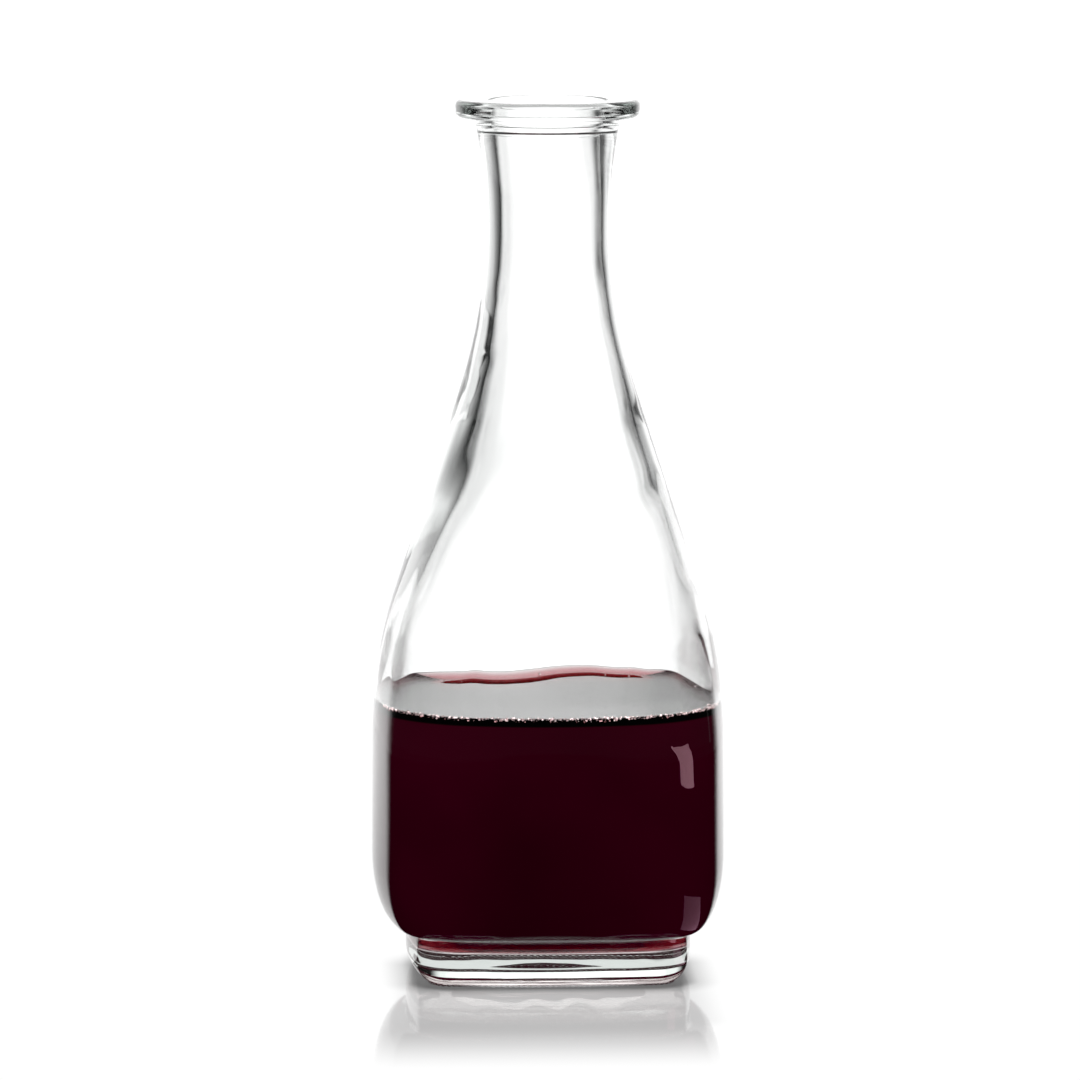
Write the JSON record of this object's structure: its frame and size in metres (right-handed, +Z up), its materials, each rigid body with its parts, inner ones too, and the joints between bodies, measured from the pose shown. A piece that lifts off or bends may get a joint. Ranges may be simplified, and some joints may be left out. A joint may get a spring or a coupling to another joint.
{
  "type": "carafe",
  "caption": "Clear glass wine carafe with a bowed square body, inset square foot, round neck and flanged lip, part filled with red wine.",
  "frame": {"origin": "centre of the foot's underside, on the plane that the carafe rests on", "axes": "+Z up along the carafe's axis, X and Y square to the faces of the body, -Y towards the front face"},
  "size_m": [0.1036, 0.1036, 0.256],
  "materials": {
    "clear_glass": "clear, polished, slightly uneven walls",
    "red_wine": "dark red wine, still, clear at thin edges"
  },
  "bodies": {
    "root": {"carafe_glass": "clear_glass", "red_wine": "red_wine"}
  },
  "joints": []
}
